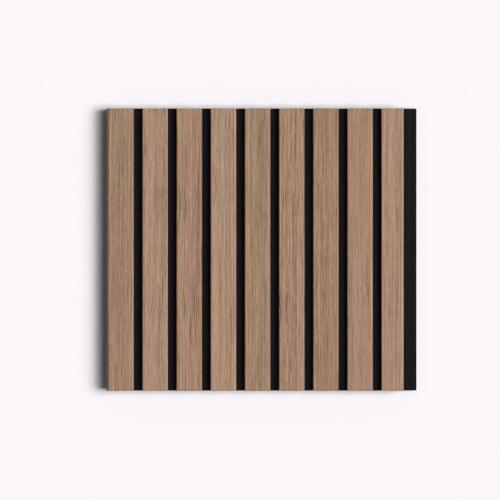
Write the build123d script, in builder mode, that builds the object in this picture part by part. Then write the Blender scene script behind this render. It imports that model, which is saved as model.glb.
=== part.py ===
from build123d import *
from math import sqrt
import os

os.makedirs("parts", exist_ok=True)

# A slatted wall panel: one black comb-shaped extrusion of foamed polystyrene, nine slats wide, whose
# slats are each wrapped in a strip of printed film. It stands as it is fixed to a wall: X runs across
# the slats, Z runs up along them, the slat faces look towards -Y and the flat back looks towards +Y.
# All sizes are in millimetres.

# The panel as a whole
panel_length = 110.8  # along the slats, from one sawn end to the other
panel_thickness = 12.0  # from the slat faces to the back

# The slats
slat_count = 9
slat_pitch = 13.4  # from one slat to the next
slat_width = 10.0  # across the flat face, over the film
end_slat_width = 8.7  # the slat beside the tongue is narrower
slat_height = 4.0  # from the groove floor to the slat face
slat_edge_radius = 0.5  # on the long edges of a slat, over the film
outer_flank_lean = 0.9  # how far the first slat's outer flank leans out on its way down

# The printed film that wraps each slat
film_thickness = 0.25
film_edge_gap = 0.6  # bare flank that is left between the film's edge and the foot of the flank

# The half-lap joint along the panel's two long edges
tongue_width = 5.2  # how far the tongue stands out past the last slat
tongue_thickness = 4.0
tongue_edge_radius = 0.5  # lead-in on the tongue's front edge
joint_clearance = 0.2  # play between a tongue and the rebate it slides into

groove_corner_radius = 0.3  # where a flank runs into a groove floor or into the tongue

# The shallow channels along the back that key the adhesive
channel_width = 4.0
channel_depth = 0.6
channel_slope = 0.5  # how much narrower a channel's bottom is, on each side

# Sizes that follow from those above
groove_width = slat_pitch - slat_width
panel_width = outer_flank_lean + (slat_count - 1) * slat_pitch + end_slat_width + tongue_width
left_side = -panel_width / 2
right_side = panel_width / 2
first_slat_left = left_side + outer_flank_lean
face_y = -panel_thickness / 2
back_y = panel_thickness / 2
floor_y = face_y + slat_height
tongue_y = back_y - tongue_thickness

# The rebate behind the first slat takes the tongue of the next panel, so that the groove between two
# panels comes out as wide as the grooves within one.
rebate_width = outer_flank_lean + tongue_width - groove_width + joint_clearance
rebate_y = tongue_y - joint_clearance
rebate_x = left_side + rebate_width


class Slat:
    """One slat: its left edge, its width, where its flanks end, and its left flank's lean per mm."""

    def __init__(self, number):
        first = number == 0
        last = number == slat_count - 1
        self.left = first_slat_left + number * slat_pitch
        self.width = end_slat_width if last else slat_width
        self.left_foot = rebate_y if first else floor_y
        self.right_foot = tongue_y if last else floor_y
        film_depth = self.left_foot - film_edge_gap - face_y
        self.lean = outer_flank_lean / film_depth if first else 0.0

    def section(self, skin, gap):
        """Corners from the left foot over the face to the right foot, skin inside and gap short."""
        top = face_y + skin
        left_end = self.left_foot - gap
        right_end = self.right_foot - gap
        left = self.left + skin * sqrt(1 + self.lean**2)
        right = self.left + self.width - skin
        return [
            (left - self.lean * (left_end - face_y), left_end),
            (left - self.lean * (top - face_y), top),
            (right, top),
            (right, right_end),
        ]


slats = [Slat(number) for number in range(slat_count)]

# The comb-shaped core, extruded in one piece: base, nine slats, tongue and rebate
with BuildPart() as panel_core:
    with BuildSketch(Plane.XY) as comb:
        with BuildLine():
            outline = [corner for slat in slats for corner in slat.section(film_thickness, 0.0)]
            outline += [
                (right_side, tongue_y),
                (right_side, back_y),
                (rebate_x, back_y),
                (rebate_x, rebate_y),
            ]
            Polyline(*outline, close=True)
        make_face()
        # Long edges of the slats, which lie under the film
        slat_edges = comb.vertices().group_by(Axis.Y)[0]
        fillet(slat_edges, slat_edge_radius - film_thickness)
        # Corners where the flanks meet the groove floors and the tongue
        last_flank = slats[-1].left + slats[-1].width - film_thickness
        floor_corners = comb.vertices().filter_by_position(
            Axis.Y, floor_y - 0.01, floor_y + 0.01
        )
        tongue_root = comb.vertices().filter_by_position(
            Axis.X, last_flank - 0.01, last_flank + 0.01
        )
        fillet(floor_corners + tongue_root.sort_by(Axis.Y)[-1:], groove_corner_radius)
        tongue_corner = comb.vertices().filter_by_position(
            Axis.X, right_side - 0.01, right_side + 0.01
        )
        fillet(tongue_corner.sort_by(Axis.Y)[:1], tongue_edge_radius)
        # Adhesive channels, one behind each slat
        for slat in slats:
            middle = slat.left + slat.width / 2
            with BuildLine():
                Polyline(
                    (middle - channel_width / 2, back_y),
                    (middle - channel_width / 2 + channel_slope, back_y - channel_depth),
                    (middle + channel_width / 2 - channel_slope, back_y - channel_depth),
                    (middle + channel_width / 2, back_y),
                    close=True,
                )
            make_face(mode=Mode.SUBTRACT)
    extrude(amount=panel_length)

panel_core.part.label = "panel_core"
export_step(panel_core.part, "parts/panel_core.step")

# The film strips: each one covers a slat's face, wraps round its two long edges and runs down its
# flanks to just above their feet.
for number, slat in enumerate(slats, start=1):
    with BuildPart() as slat_film:
        with BuildSketch(Plane.XY) as strip:
            outside = slat.section(0.0, film_edge_gap)
            inside = slat.section(film_thickness, film_edge_gap)
            with BuildLine():
                Polyline(*outside, *reversed(inside), close=True)
            make_face()
            fillet(strip.vertices().group_by(Axis.Y)[0], slat_edge_radius)
            fillet(
                strip.vertices().filter_by_position(
                    Axis.Y, face_y + film_thickness - 0.01, face_y + film_thickness + 0.01
                ),
                slat_edge_radius - film_thickness,
            )
        extrude(amount=panel_length)
    slat_film.part.label = f"slat_film_{number}"
    export_step(slat_film.part, f"parts/slat_film_{number}.step")
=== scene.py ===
import math

import bpy
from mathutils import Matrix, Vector


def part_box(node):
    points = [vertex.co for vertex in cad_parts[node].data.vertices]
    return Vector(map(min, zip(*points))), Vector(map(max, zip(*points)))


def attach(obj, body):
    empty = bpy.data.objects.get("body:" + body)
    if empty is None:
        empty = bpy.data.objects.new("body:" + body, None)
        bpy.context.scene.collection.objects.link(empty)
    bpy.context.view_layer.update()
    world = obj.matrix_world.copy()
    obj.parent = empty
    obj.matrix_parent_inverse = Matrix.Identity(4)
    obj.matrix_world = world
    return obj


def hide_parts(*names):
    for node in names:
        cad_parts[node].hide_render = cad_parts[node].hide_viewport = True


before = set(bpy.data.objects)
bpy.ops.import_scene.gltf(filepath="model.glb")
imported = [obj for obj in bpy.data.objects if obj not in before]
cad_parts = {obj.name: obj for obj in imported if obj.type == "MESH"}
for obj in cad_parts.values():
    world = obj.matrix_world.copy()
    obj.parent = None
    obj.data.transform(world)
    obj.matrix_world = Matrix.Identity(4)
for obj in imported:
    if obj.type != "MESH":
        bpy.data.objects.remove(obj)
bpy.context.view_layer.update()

MM = 0.001
SLATS = range(1, 10)

# Sizes read from the frame: the first slat, whose outer flank leans out and runs further down, the
# regular slat, and the last one, which is narrower and runs down to the tongue
first_low, first_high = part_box("slat_film_1")
slat_low, slat_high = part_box("slat_film_2")
last_low, last_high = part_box("slat_film_9")
core_low, core_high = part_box("panel_core")
SLAT_WIDTH = slat_high.x - slat_low.x
FLANK = slat_high.y - slat_low.y
FIRST_FLANK = first_high.y - first_low.y
LAST_FLANK = last_high.y - last_low.y
OUTER_LEAN = math.atan((first_high.x - first_low.x - SLAT_WIDTH) / FIRST_FLANK)
FACE_Y = slat_low.y
BACK_Y = core_high.y
LENGTH = core_high.z - core_low.z
# Two more sizes of the part's source
FILM = 0.25 * MM
EDGE_RADIUS = 0.5 * MM

# The print. The slats are cut from it a step apart. The two seeds were picked for where the light,
# the dark, the calm and the lively slats come.
SLAT_STEP = 7.3
PRINT_SEED = 10.7
FIGURE_SEED = 86.0
# Embossed pores. Real ones are 0.2 mm wide, too fine to show.
PORE_WIDTH = 0.5
PORE_LENGTH = 6.0
PORE_DEPTH = 0.04 * MM


def linear(hex_colour):
    """An sRGB hex colour as the linear RGBA that the shaders use."""
    parts = [int(hex_colour[i : i + 2], 16) / 255 for i in (1, 3, 5)]
    return [c / 12.92 if c <= 0.04045 else ((c + 0.055) / 1.055) ** 2.4 for c in parts] + [1.0]


def add(tree, kind, inputs=None, **settings):
    """Adds a node with its settings; inputs gives its sockets values, or nodes and sockets to link."""
    node = tree.nodes.new(kind)
    for name, value in settings.items():
        setattr(node, name, value)
    for key, value in (inputs or {}).items():
        if isinstance(key, int):
            socket = node.inputs[key]
        else:
            socket = next(s for s in node.inputs if s.name == key and s.enabled)
        if isinstance(value, bpy.types.Node):
            value = next(s for s in value.outputs if s.enabled)
        if isinstance(value, bpy.types.NodeSocket):
            tree.links.new(value, socket)
        else:
            socket.default_value = value
    return node


def bumps(width, length):
    """The scale at which the bumps of a noise on the print are this wide and long, in mm."""
    return (1 / width, 1 / length, 1)


# Kinds of node that are used many times
MATH = "ShaderNodeMath"
VECTOR = "ShaderNodeVectorMath"
STRETCH = "ShaderNodeMapping"
NOISE = "ShaderNodeTexNoise"
RANGE = "ShaderNodeMapRange"
MIX = "ShaderNodeMix"


def empty_tree(data):
    """Gives a material or a world a node tree with nothing in it."""
    data.use_nodes = True
    data.node_tree.nodes.clear()
    return data.node_tree


# Printed decor film: a nearly matt polypropylene film with an oak print, hot-wrapped and embossed
# with fine pores. It gives the eye a soft brown with hair-thin streaks, darker growth lines, a few
# thin checks and paler edges, which are a painted highlight. The strips carry three things for it:
# grain is the place on the print in mm, relief the depth of the pores, and bend_highlight the bends,
# where the painted highlight goes.
film_material = bpy.data.materials.new("printed_oak_film")
tree = empty_tree(film_material)
grain = add(tree, "ShaderNodeAttribute", attribute_name="grain").outputs["Vector"]
relief = add(tree, "ShaderNodeAttribute", attribute_name="relief").outputs["Fac"]
bend_highlight = add(tree, "ShaderNodeAttribute", attribute_name="bend_highlight").outputs["Fac"]
along = add(tree, "ShaderNodeSeparateXYZ", {0: grain})

# The whole print sways a little from side to side on its way up the slat
SWAY = 1.6
bend = add(tree, STRETCH, {"Vector": grain, "Scale": bumps(14, 60)})
sway = add(tree, NOISE, {"Vector": bend, "Scale": 1.0, "Detail": 1.0})
swayed = add(tree, MATH, {0: sway, 1: SWAY, 2: along.outputs["X"]}, operation="MULTIPLY_ADD")
place = add(
    tree,
    "ShaderNodeCombineXYZ",
    {"X": swayed, "Y": along.outputs["Y"], "Z": along.outputs["Z"]},
)

# Streaks and patches of the print, each kind with its width and length in mm, and a shift that
# keeps it apart from the others. The finest are really 0.1 mm wide; they are drawn 0.3 mm wide, so
# that they show.
streaks = {}
for name, width, length, shift in (
    ("board", 0.42, 400.0, 11.3),
    ("column", 6.0, 300.0, 17.6),
    ("rosy", 7.0, 200.0, 74.8),
    ("yellow", 7.0, 60.0, 103.0),
    ("band", 0.34, 60.0, 37.7),
    ("line", 0.33, 25.0, 41.1),
    ("fibre", 0.35, 9.0, 53.4),
    ("hair", 0.32, 3.2, 61.9),
    ("speck", 0.34, 1.2, 67.3),
    ("fading", 2.5, 100.0, 79.6),
):
    stretched = add(
        tree,
        STRETCH,
        {"Vector": place, "Scale": bumps(width, length), "Location": (shift, 0, shift)},
    )
    streaks[name] = add(tree, NOISE, {"Vector": stretched, "Scale": 1.0, "Detail": 0.0})

# Some slats are cut where the wood is calm, others where it is full of figure
figure_place = add(tree, MATH, {0: along.outputs["Z"], 1: FIGURE_SEED}, operation="ADD")
slat_figure = add(
    tree, "ShaderNodeTexWhiteNoise", {"W": figure_place}, noise_dimensions="1D"
).outputs["Value"]
figure = add(tree, RANGE, {"Value": slat_figure, "From Min": 0.3, "From Max": 0.9})

# Growth rings: contour lines about 1.6 mm apart, each dark along one side, that fade in and out.
# They bow by up to three times their spacing.
RING_SPACING = 1.6
RING_BOW = 3.0
bow = add(tree, STRETCH, {"Vector": grain, "Scale": bumps(5, 45), "Location": (5, 0, 0)})
bowed = add(tree, NOISE, {"Vector": bow, "Scale": 1.0, "Detail": 1.0})
across = add(tree, MATH, {0: along.outputs["X"], 1: RING_SPACING}, operation="DIVIDE")
rings = add(tree, MATH, {0: bowed, 1: RING_BOW, 2: across}, operation="MULTIPLY_ADD")
ring = add(tree, MATH, {0: rings}, operation="FRACT")
rising = add(
    tree,
    RANGE,
    {"Value": ring, "From Min": 0.76, "From Max": 0.91},
    interpolation_type="SMOOTHSTEP",
)
falling = add(
    tree,
    RANGE,
    {"Value": ring, "From Min": 0.93, "From Max": 1.0, "To Min": 1.0, "To Max": 0.0},
    interpolation_type="SMOOTHSTEP",
)
late_wood = add(tree, MATH, {0: rising, 1: falling}, operation="MULTIPLY")
ring_strength = add(
    tree,
    RANGE,
    {"Value": streaks["fading"], "From Min": 0.45, "From Max": 0.6},
    interpolation_type="SMOOTHSTEP",
)
ring_dark = add(tree, MATH, {0: late_wood, 1: ring_strength}, operation="MULTIPLY")
ring_dark = add(tree, MATH, {0: ring_dark, 1: figure}, operation="MULTIPLY")

# Tone: each slat's own level, then the streaks on top, each with its share. Growth rings and pores
# darken it, and the bends are painted paler: a painted highlight on the rounded edges.
LEVEL_SHARE = 0.21
BASE_TONE = -0.983
RING_SHARE = -0.4
PORE_SHARE = -0.1
BEND_HIGHLIGHT_SHARE = 0.1
slat_level = add(
    tree, "ShaderNodeTexWhiteNoise", {"W": along.outputs["Z"]}, noise_dimensions="1D"
).outputs["Value"]
tone = add(tree, MATH, {0: slat_level, 1: LEVEL_SHARE, 2: BASE_TONE}, operation="MULTIPLY_ADD")
for name, share in (
    ("board", 0.64),
    ("column", 0.28),
    ("band", 0.44),
    ("line", 0.44),
    ("fibre", 0.47),
    ("hair", 0.34),
    ("speck", 0.25),
):
    tone = add(tree, MATH, {0: streaks[name], 1: share, 2: tone}, operation="MULTIPLY_ADD")
# The streaks of a calm slat have less contrast about the middle tone than those of a lively one
MIDDLE_TONE = 0.5
contrast = add(
    tree,
    RANGE,
    {"Value": slat_figure, "From Min": 0.3, "From Max": 1.0, "To Min": 0.9, "To Max": 1.2},
)
tone = add(tree, MATH, {0: tone, 1: MIDDLE_TONE}, operation="SUBTRACT")
tone = add(tree, MATH, {0: tone, 1: contrast, 2: MIDDLE_TONE}, operation="MULTIPLY_ADD")
tone = add(tree, MATH, {0: ring_dark, 1: RING_SHARE, 2: tone}, operation="MULTIPLY_ADD")
tone = add(tree, MATH, {0: relief, 1: PORE_SHARE, 2: tone}, operation="MULTIPLY_ADD")
# The painted highlight on the bends of the film is added here
tone = add(
    tree, MATH, {0: bend_highlight, 1: BEND_HIGHLIGHT_SHARE, 2: tone}, operation="MULTIPLY_ADD", use_clamp=True
)
brown = add(
    tree,
    MIX,
    {"Factor": tone, "A": linear("#7C5D45"), "B": linear("#C2A38A")},
    data_type="RGBA",
)

# Broad patches lean towards pink, and others, apart from those, towards yellow
tinted = brown
for name, strong, weak in (
    ("rosy", "#FEF9FC", "#F9FAFE"),
    ("yellow", "#FFFFF5", "#FFFFFE"),
):
    patch = add(
        tree,
        RANGE,
        {"Value": streaks[name], "From Min": 0.35, "From Max": 0.65},
        interpolation_type="SMOOTHSTEP",
    )
    hue = add(
        tree,
        MIX,
        {"Factor": patch, "A": linear(weak), "B": linear(strong)},
        data_type="RGBA",
    )
    tinted = add(
        tree,
        MIX,
        {"Factor": 1.0, "A": tinted, "B": hue},
        data_type="RGBA",
        blend_type="MULTIPLY",
    )

# A few dark checks, thin and one or two centimetres long, that wander a little
WANDER = 3.0
wander = add(tree, STRETCH, {"Vector": grain, "Scale": bumps(6, 12), "Location": (9, 0, 0)})
wandering = add(tree, NOISE, {"Vector": wander, "Scale": 1.0, "Detail": 1.0})
astray = add(tree, MATH, {0: wandering, 1: WANDER, 2: swayed}, operation="MULTIPLY_ADD")
check_place = add(
    tree,
    "ShaderNodeCombineXYZ",
    {"X": astray, "Y": along.outputs["Y"], "Z": along.outputs["Z"]},
)
slit = add(
    tree,
    STRETCH,
    {"Vector": check_place, "Scale": bumps(0.38, 22), "Location": (3.1, 0, 8.7)},
)
slits = add(tree, NOISE, {"Vector": slit, "Scale": 1.0, "Detail": 0.0})
check = add(
    tree,
    RANGE,
    {"Value": slits, "From Min": 0.68, "From Max": 0.8},
    interpolation_type="SMOOTHSTEP",
)
check = add(tree, MATH, {0: check, 1: figure}, operation="MULTIPLY")
checked = add(
    tree,
    MIX,
    {"Factor": check, "A": tinted, "B": linear("#5E4332")},
    data_type="RGBA",
)

# Fibres differ a little in their sheen, and hairs stand out by some hundredths of a millimetre
HAIR_RELIEF = 0.02 * MM
shine = add(
    tree,
    RANGE,
    {"Value": streaks["fibre"], "From Min": 0.3, "From Max": 0.7, "To Min": 0.5, "To Max": 0.64},
)
bump = add(
    tree,
    "ShaderNodeBump",
    {"Height": streaks["hair"], "Strength": 0.25, "Distance": HAIR_RELIEF},
)
shader = add(
    tree,
    "ShaderNodeBsdfPrincipled",
    {
        "Base Color": checked,
        "Roughness": shine,
        "Specular IOR Level": 0.14,
        "Normal": bump,
    },
)
add(tree, "ShaderNodeOutputMaterial", {"Surface": shader})

# Foamed polystyrene, dyed black and extruded: a matt skin with faint die lines along its length.
# Where it is sawn it shows open foam cells and is greyer, because the cells scatter light.
core_material = bpy.data.materials.new("black_foamed_polystyrene")
tree = empty_tree(core_material)
place = add(tree, "ShaderNodeTexCoord").outputs["Object"]
normal = add(tree, "ShaderNodeNewGeometry").outputs["True Normal"]
facing = add(tree, "ShaderNodeSeparateXYZ", {0: normal})
# The two sawn ends are the only faces that look up or down
LOOKS_UP_OR_DOWN = 0.7
upright = add(tree, MATH, {0: facing.outputs["Z"]}, operation="ABSOLUTE")
sawn = add(tree, MATH, {0: upright, 1: LOOKS_UP_OR_DOWN}, operation="GREATER_THAN")

# Die lines 0.6 mm apart, drawn out along the extrusion
DIE_LINE = 0.6 * MM
DIE_LINE_LENGTH = 200 * MM
drawn = add(
    tree,
    STRETCH,
    {"Vector": place, "Scale": (1 / DIE_LINE, 1 / DIE_LINE, 1 / DIE_LINE_LENGTH)},
)
die_lines = add(tree, NOISE, {"Vector": drawn, "Scale": 1.0, "Detail": 2.0})
# Foam cells are about 0.15 mm wide; they are drawn 0.45 mm wide, so that they show
CELL = 0.45 * MM
cells = add(tree, "ShaderNodeTexVoronoi", {"Vector": place, "Scale": 1 / CELL})
# A fine saw blade leaves its marks across the end, 0.9 mm apart and about 29 degrees off square
SAW_MARK = 0.9 * MM
SAW_MARK_LENGTH = 25 * MM
SAW_ANGLE = 0.5
turned = add(
    tree,
    STRETCH,
    {
        "Vector": place,
        "Rotation": (0, 0, SAW_ANGLE),
        "Scale": (1 / SAW_MARK, 1 / SAW_MARK_LENGTH, 1),
    },
)
saw_marks = add(tree, NOISE, {"Vector": turned, "Scale": 1.0, "Detail": 1.0})

skin_colour = add(
    tree,
    MIX,
    {"Factor": die_lines, "A": linear("#0D090C"), "B": linear("#130E12")},
    data_type="RGBA",
)
foam_colour = add(
    tree,
    MIX,
    {"Factor": cells, "A": linear("#333134"), "B": linear("#1D1B1D")},
    data_type="RGBA",
)
black = add(
    tree,
    MIX,
    {"Factor": sawn, "A": skin_colour, "B": foam_colour},
    data_type="RGBA",
)
shine = add(
    tree,
    RANGE,
    {"Value": die_lines, "From Min": 0.3, "From Max": 0.7, "To Min": 0.6, "To Max": 0.8},
)
# The foam's relief is half a tenth of a millimetre at most; the saw marks are shallower than the cells
FOAM_RELIEF = 0.05 * MM
SAW_DEPTH = 0.6
end_height = add(tree, MATH, {0: saw_marks, 1: SAW_DEPTH, 2: cells}, operation="MULTIPLY_ADD")
height = add(
    tree,
    MIX,
    {"Factor": sawn, "A": die_lines, "B": end_height},
    data_type="FLOAT",
)
bump = add(
    tree,
    "ShaderNodeBump",
    {"Height": height, "Strength": 0.4, "Distance": FOAM_RELIEF},
)
shader = add(
    tree,
    "ShaderNodeBsdfPrincipled",
    {
        "Base Color": black,
        "Roughness": shine,
        "Specular IOR Level": 0.08,
        "Normal": bump,
    },
)
add(tree, "ShaderNodeOutputMaterial", {"Surface": shader})

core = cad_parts["panel_core"].data
core.materials.clear()
core.materials.append(core_material)

# The film strips. One tree wraps a flat grid round a slat: over the face, round the two long edges
# and down the flanks. Its outside is embossed inwards, and its inside lies on the foam.
film_tree = bpy.data.node_groups.new("film_strip", "GeometryNodeTree")
film_tree.is_modifier = True
socket_names = {}
for name, kind in (
    ("Slat Middle", "NodeSocketFloat"),
    ("Slat Width", "NodeSocketFloat"),
    ("Face", "NodeSocketFloat"),
    ("Length", "NodeSocketFloat"),
    ("Left Lean", "NodeSocketFloat"),
    ("Left Reach", "NodeSocketFloat"),
    ("Right Reach", "NodeSocketFloat"),
    ("Edge Radius", "NodeSocketFloat"),
    ("Film Thickness", "NodeSocketFloat"),
    ("Pore Depth", "NodeSocketFloat"),
    ("Mesh Size Across", "NodeSocketFloat"),
    ("Mesh Size Along", "NodeSocketFloat"),
    ("Slat Number", "NodeSocketFloat"),
    ("Seed", "NodeSocketFloat"),
    ("Material", "NodeSocketMaterial"),
):
    made = film_tree.interface.new_socket(name=name, in_out="INPUT", socket_type=kind)
    socket_names[name] = made.identifier
film_tree.interface.new_socket(name="Film", in_out="OUTPUT", socket_type="NodeSocketGeometry")
tree = film_tree
given = add(tree, "NodeGroupInput").outputs

# A flat grid as wide as the unrolled film
width = add(tree, MATH, {0: given["Left Reach"], 1: given["Right Reach"]}, operation="ADD")
columns = add(tree, MATH, {0: width, 1: given["Mesh Size Across"]}, operation="DIVIDE")
rows = add(tree, MATH, {0: given["Length"], 1: given["Mesh Size Along"]}, operation="DIVIDE")
grid = add(
    tree,
    "GeometryNodeMeshGrid",
    {"Size X": width, "Size Y": given["Length"], "Vertices X": columns, "Vertices Y": rows},
)

# Where a point of the grid lies: how far from the middle of the face, and how far up the slat
flat = add(tree, "ShaderNodeSeparateXYZ", {0: add(tree, "GeometryNodeInputPosition")})
more_right = add(
    tree, MATH, {0: given["Right Reach"], 1: given["Left Reach"]}, operation="SUBTRACT"
)
out = add(
    tree, MATH, {0: more_right, 1: 0.5, 2: flat.outputs["X"]}, operation="MULTIPLY_ADD"
)
up = add(
    tree, MATH, {0: given["Length"], 1: 0.5, 2: flat.outputs["Y"]}, operation="MULTIPLY_ADD"
)
side = add(tree, MATH, {0: out}, operation="SIGN")
distance = add(tree, MATH, {0: out}, operation="ABSOLUTE")

# How far the film turns at the edge: a right angle, less the lean of a flank that leans out
on_left = add(tree, MATH, {0: out, 1: 0.0}, operation="LESS_THAN")
lean = add(tree, MATH, {0: given["Left Lean"], 1: on_left}, operation="MULTIPLY")
turn = add(tree, MATH, {0: math.pi / 2, 1: lean}, operation="SUBTRACT")
half_turn = add(tree, MATH, {0: turn, 1: 0.5}, operation="MULTIPLY")
slope = add(tree, MATH, {0: half_turn}, operation="TANGENT")
setback = add(tree, MATH, {0: slope, 1: given["Edge Radius"]}, operation="MULTIPLY")
half_width = add(tree, MATH, {0: given["Slat Width"], 1: 0.5}, operation="MULTIPLY")
straight = add(tree, MATH, {0: half_width, 1: setback}, operation="SUBTRACT")

# The three stretches of the way out: along the face, round the edge, down the flank
on_face = add(tree, MATH, {0: distance, 1: straight}, operation="MINIMUM")
past_face = add(tree, MATH, {0: distance, 1: straight}, operation="SUBTRACT")
turned = add(tree, MATH, {0: past_face, 1: given["Edge Radius"]}, operation="DIVIDE")
turned = add(tree, MATH, {0: turned, 1: 0.0}, operation="MAXIMUM")
turned = add(tree, MATH, {0: turned, 1: turn}, operation="MINIMUM")
arc = add(tree, MATH, {0: turn, 1: given["Edge Radius"]}, operation="MULTIPLY")
past_edge = add(tree, MATH, {0: past_face, 1: arc}, operation="SUBTRACT")
down = add(tree, MATH, {0: past_edge, 1: 0.0}, operation="MAXIMUM")
sine = add(tree, MATH, {0: turned}, operation="SINE")
cosine = add(tree, MATH, {0: turned}, operation="COSINE")

# The wrapped place of the point on the film's outside
x = add(tree, MATH, {0: given["Edge Radius"], 1: sine, 2: on_face}, operation="MULTIPLY_ADD")
x = add(tree, MATH, {0: down, 1: cosine, 2: x}, operation="MULTIPLY_ADD")
x = add(tree, MATH, {0: x, 1: side, 2: given["Slat Middle"]}, operation="MULTIPLY_ADD")
drop = add(tree, MATH, {0: 1.0, 1: cosine}, operation="SUBTRACT")
y = add(
    tree, MATH, {0: drop, 1: given["Edge Radius"], 2: given["Face"]}, operation="MULTIPLY_ADD"
)
y = add(tree, MATH, {0: down, 1: sine, 2: y}, operation="MULTIPLY_ADD")
outside = add(tree, "ShaderNodeCombineXYZ", {"X": x, "Y": y, "Z": up})
inward_x = add(tree, MATH, {0: side, 1: sine}, operation="MULTIPLY")
inward_x = add(tree, MATH, {0: inward_x, 1: -1.0}, operation="MULTIPLY")
inward = add(tree, "ShaderNodeCombineXYZ", {"X": inward_x, "Y": cosine, "Z": 0.0})
inside = add(
    tree,
    VECTOR,
    {0: inward, 1: given["Film Thickness"], 2: outside},
    operation="MULTIPLY_ADD",
)

# The place on the print, in mm, with the slat's number as the third coordinate
out_mm = add(tree, MATH, {0: out, 1: MM}, operation="DIVIDE")
up_mm = add(tree, MATH, {0: up, 1: MM}, operation="DIVIDE")
apart = add(
    tree,
    MATH,
    {0: given["Slat Number"], 1: SLAT_STEP, 2: given["Seed"]},
    operation="MULTIPLY_ADD",
)
print_place = add(tree, "ShaderNodeCombineXYZ", {"X": out_mm, "Y": up_mm, "Z": apart})

# Embossed pores, as pits along the grain
pore_scale = add(
    tree, VECTOR, {0: print_place, 1: bumps(PORE_WIDTH, PORE_LENGTH)}, operation="MULTIPLY"
)
pores = add(tree, NOISE, {"Vector": pore_scale, "Scale": 1.0, "Detail": 0.0})
pits = add(
    tree,
    RANGE,
    {"Value": pores, "From Min": 0.5, "From Max": 0.75},
    interpolation_type="SMOOTHSTEP",
)
pit_depth = add(tree, MATH, {0: pits, 1: given["Pore Depth"]}, operation="MULTIPLY")
embossed = add(tree, VECTOR, {0: inward, 1: pit_depth, 2: outside}, operation="MULTIPLY_ADD")

# Where the film bends over an edge it is painted a little paler, from just before the bend to just
# past it: a painted highlight on the rounded edge, where the film is stretched over it
HIGHLIGHT_START = -0.5 * MM
HIGHLIGHT_FULL = 0.1 * MM
HIGHLIGHT_END = 0.4 * MM
near_bend = add(
    tree,
    RANGE,
    {"Value": past_face, "From Min": HIGHLIGHT_START, "From Max": HIGHLIGHT_FULL},
    interpolation_type="SMOOTHSTEP",
)
past_bend = add(
    tree,
    RANGE,
    {"Value": past_edge, "From Min": 0.0, "From Max": HIGHLIGHT_END, "To Min": 1.0, "To Max": 0.0},
    interpolation_type="SMOOTHSTEP",
)
bend_highlight_mask = add(tree, MATH, {0: near_bend, 1: past_bend}, operation="MULTIPLY")

stored = add(
    tree,
    "GeometryNodeStoreNamedAttribute",
    {"Geometry": grid, "Name": "grain", "Value": print_place},
    data_type="FLOAT_VECTOR",
)
stored = add(
    tree,
    "GeometryNodeStoreNamedAttribute",
    {"Geometry": stored, "Name": "relief", "Value": pits},
    data_type="FLOAT",
)
# The bends carry the painted highlight
stored = add(
    tree,
    "GeometryNodeStoreNamedAttribute",
    {"Geometry": stored, "Name": "bend_highlight", "Value": bend_highlight_mask},
    data_type="FLOAT",
)
stored = add(
    tree,
    "GeometryNodeStoreNamedAttribute",
    {"Geometry": stored, "Name": "outside", "Value": embossed},
    data_type="FLOAT_VECTOR",
)

# The inside is drawn out to the outside, so that the strip has its thickness and is closed
lining = add(tree, "GeometryNodeSetPosition", {"Geometry": stored, "Position": inside})
drawn = add(
    tree,
    "GeometryNodeExtrudeMesh",
    {"Mesh": lining, "Offset Scale": 0.0, "Individual": False},
)
kept = add(
    tree,
    "GeometryNodeInputNamedAttribute",
    {"Name": "outside"},
    data_type="FLOAT_VECTOR",
)
shell = add(
    tree,
    "GeometryNodeSetPosition",
    {"Geometry": drawn, "Selection": drawn.outputs["Top"], "Position": kept},
)
shell = add(tree, "GeometryNodeSetShadeSmooth", {0: shell, "Shade Smooth": True})
shell = add(
    tree,
    "GeometryNodeSetShadeSmooth",
    {0: shell, "Selection": drawn.outputs["Side"], "Shade Smooth": False},
)
WELD = 0.001 * MM
turned_over = add(tree, "GeometryNodeFlipFaces", {"Mesh": lining})
joined = add(tree, "GeometryNodeJoinGeometry", {"Geometry": shell})
tree.links.new(turned_over.outputs["Mesh"], joined.inputs["Geometry"])
welded = add(tree, "GeometryNodeMergeByDistance", {"Geometry": joined, "Distance": WELD})
cleaned = add(tree, "GeometryNodeRemoveAttribute", {"Geometry": welded, "Name": "outside"})
real = add(tree, "GeometryNodeRealizeInstances", {"Geometry": cleaned})
dressed = add(
    tree, "GeometryNodeSetMaterial", {"Geometry": real, "Material": given["Material"]}
)
add(tree, "NodeGroupOutput", {0: dressed})


def reach(width, flank, lean):
    """How far the film runs from the middle of a face over an edge to its own edge."""
    turn = math.pi / 2 - lean
    straight = width / 2 - EDGE_RADIUS * math.tan(turn / 2)
    down = (flank - EDGE_RADIUS * (1 - math.cos(turn))) / math.sin(turn)
    return straight + EDGE_RADIUS * turn + down


# The grid is fine enough for the pores and for the bends
MESH_ACROSS = 0.2 * MM
MESH_ALONG = 0.6 * MM

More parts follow.
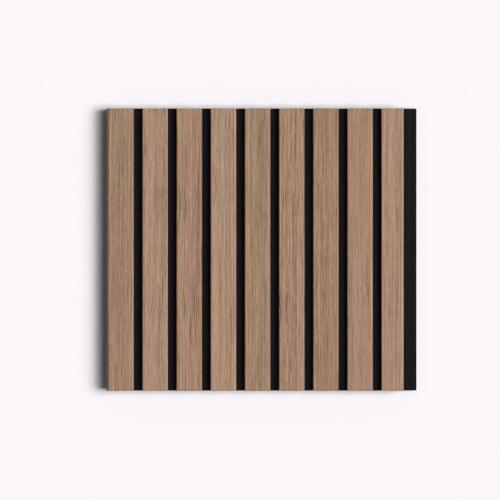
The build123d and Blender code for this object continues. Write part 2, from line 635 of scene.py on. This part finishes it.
for number in SLATS:
    low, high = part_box(f"slat_film_{number}")
    first = number == SLATS[0]
    last = number == SLATS[-1]
    slat_left = high.x - SLAT_WIDTH if first else low.x
    width = high.x - slat_left
    lean = OUTER_LEAN if first else 0.0
    sizes = {
        "Slat Middle": slat_left + width / 2,
        "Slat Width": width,
        "Face": FACE_Y,
        "Length": LENGTH,
        "Left Lean": lean,
        "Left Reach": reach(width, FIRST_FLANK if first else FLANK, lean),
        "Right Reach": reach(width, LAST_FLANK if last else FLANK, 0.0),
        "Edge Radius": EDGE_RADIUS,
        "Film Thickness": FILM,
        "Pore Depth": PORE_DEPTH,
        "Mesh Size Across": MESH_ACROSS,
        "Mesh Size Along": MESH_ALONG,
        "Slat Number": float(number),
        "Seed": PRINT_SEED,
        "Material": film_material,
    }
    name = f"wood_film_{number}"
    film = bpy.data.objects.new(name, bpy.data.meshes.new(name))
    bpy.context.scene.collection.objects.link(film)
    wrapping = film.modifiers.new("wrapping", "NODES")
    wrapping.node_group = film_tree
    for size, value in sizes.items():
        wrapping[socket_names[size]] = value
    depsgraph = bpy.context.evaluated_depsgraph_get()
    mesh = bpy.data.meshes.new_from_object(
        film.evaluated_get(depsgraph), preserve_all_data_layers=True, depsgraph=depsgraph
    )
    film.modifiers.remove(wrapping)
    film.data = mesh
    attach(film, "root")
    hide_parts(f"slat_film_{number}")


def plane(name, corners, material):
    """A flat stage surface from its four corners."""
    mesh = bpy.data.meshes.new(name)
    mesh.from_pydata([Vector(c) for c in corners], [], [(0, 1, 2, 3)])
    mesh.materials.append(material)
    made = bpy.data.objects.new(name, mesh)
    bpy.context.scene.collection.objects.link(made)


# The white wall that the panel hangs on. It catches the panel's shadow, but lets the lamps behind it
# through. It throws back light as a grey wall would, so that the grooves and the flanks stay dark.
# From behind it isn't seen, so it never hides the panel's back.
wall_material = bpy.data.materials.new("white_wall_paint")
tree = empty_tree(wall_material)
path = add(tree, "ShaderNodeLightPath")
behind = add(tree, "ShaderNodeNewGeometry").outputs["Backfacing"]
hidden = add(tree, MATH, {0: path.outputs["Is Shadow Ray"], 1: behind}, operation="MAXIMUM")
wall_colour = add(
    tree,
    MIX,
    {"Factor": path.outputs["Is Diffuse Ray"], "A": linear("#FFFBFE"), "B": linear("#767375")},
    data_type="RGBA",
)
paint = add(tree, "ShaderNodeBsdfDiffuse", {"Color": wall_colour})
clear = add(tree, "ShaderNodeBsdfTransparent")
both = add(tree, "ShaderNodeMixShader", {0: hidden, 1: paint, 2: clear})
add(tree, "ShaderNodeOutputMaterial", {"Surface": both})

# The pale floor, seen by the eye and in reflections alone, so that it throws nothing up at the wall
floor_material = bpy.data.materials.new("pale_floor_paint")
tree = empty_tree(floor_material)
path = add(tree, "ShaderNodeLightPath")
seen = add(
    tree,
    MATH,
    {0: path.outputs["Is Camera Ray"], 1: path.outputs["Is Glossy Ray"]},
    operation="MAXIMUM",
)
seen = add(tree, MATH, {0: seen, 1: path.outputs["Is Transmission Ray"]}, operation="MAXIMUM")
paint = add(tree, "ShaderNodeBsdfDiffuse", {"Color": linear("#F4F0F3")})
clear = add(tree, "ShaderNodeBsdfTransparent")
both = add(tree, "ShaderNodeMixShader", {0: seen, 1: clear, 2: paint})
add(tree, "ShaderNodeOutputMaterial", {"Surface": both})

WALL_Y = BACK_Y + 0.1 * MM
FLOOR_Z = -70 * MM
STAGE_REACH = 1.5
plane(
    "wall",
    (
        (-STAGE_REACH, WALL_Y, FLOOR_Z),
        (STAGE_REACH, WALL_Y, FLOOR_Z),
        (STAGE_REACH, WALL_Y, STAGE_REACH),
        (-STAGE_REACH, WALL_Y, STAGE_REACH),
    ),
    wall_material,
)
plane(
    "floor",
    (
        (-STAGE_REACH, -STAGE_REACH, FLOOR_Z),
        (STAGE_REACH, -STAGE_REACH, FLOOR_Z),
        (STAGE_REACH, STAGE_REACH, FLOOR_Z),
        (-STAGE_REACH, STAGE_REACH, FLOOR_Z),
    ),
    floor_material,
)

# World: white to the eye and in reflections, otherwise a low even light
EVEN_LIGHT = 0.09
world = bpy.data.worlds.new("studio")
bpy.context.scene.world = world
tree = empty_tree(world)
path = add(tree, "ShaderNodeLightPath")
seen = add(
    tree,
    MATH,
    {0: path.outputs["Is Camera Ray"], 1: path.outputs["Is Glossy Ray"]},
    operation="MAXIMUM",
)
seen = add(tree, MATH, {0: seen, 1: path.outputs["Is Transmission Ray"]}, operation="MAXIMUM")
white = add(tree, "ShaderNodeBackground", {"Color": linear("#FFFFFF"), "Strength": 1.0})
dim = add(tree, "ShaderNodeBackground", {"Color": linear("#FFFFFF"), "Strength": EVEN_LIGHT})
both = add(tree, "ShaderNodeMixShader", {0: seen, 1: dim, 2: white})
add(tree, "ShaderNodeOutputWorld", {"Surface": both})


def sun(name, strength, spread, towards):
    """A soft lamp, as far off as the sun and spread degrees wide, that shines along towards."""
    lamp = bpy.data.lights.new(name, "SUN")
    lamp.energy = strength
    lamp.angle = math.radians(spread)
    made = bpy.data.objects.new(name, lamp)
    made.rotation_mode = "QUATERNION"
    made.rotation_quaternion = Vector(towards).to_track_quat("-Z", "Y")
    bpy.context.scene.collection.objects.link(made)


# A wide softbox on the right, as two lamps side by side, level with the panel
KEY_SPREAD = 24
for name, strength, side_angle in (("key_near", 1.77, 21), ("key_far", 1.27, 31.5)):
    turn = math.radians(side_angle)
    sun(name, strength, KEY_SPREAD, (-math.sin(turn), math.cos(turn), 0))
# One lamp behind the panel and one above it, for the faces that the key can't reach
sun("rear", 3.0, 30, (-0.15, -1, -0.1))
sun("top", 2.2, 6, (-0.1, -0.2, -1))

# Camera: square on to the slats, far off and with a long lens. PX is what one pixel of the
# photograph spans at the slat faces, and the panel's centre lies at CENTRE_X_PX, CENTRE_Y_PX.
PX = 0.39228 * MM
LENS = 600.0
SENSOR = 36.0
FRAME_PX = 500
CENTRE_X_PX = 261.4
CENTRE_Y_PX = 249.55
camera_distance = FRAME_PX * PX * LENS / SENSOR
cam_data = bpy.data.cameras.new("camera")
cam_data.lens = LENS
cam_data.sensor_width = SENSOR
cam_data.clip_end = 20.0
camera = bpy.data.objects.new("camera", cam_data)
bpy.context.scene.collection.objects.link(camera)
camera.location = (
    (FRAME_PX / 2 - CENTRE_X_PX) * PX,
    FACE_Y - camera_distance,
    LENGTH / 2 + (CENTRE_Y_PX - FRAME_PX / 2) * PX,
)
camera.rotation_euler = (math.pi / 2, 0, 0)
bpy.context.scene.camera = camera
bpy.context.scene.view_settings.view_transform = "Standard"
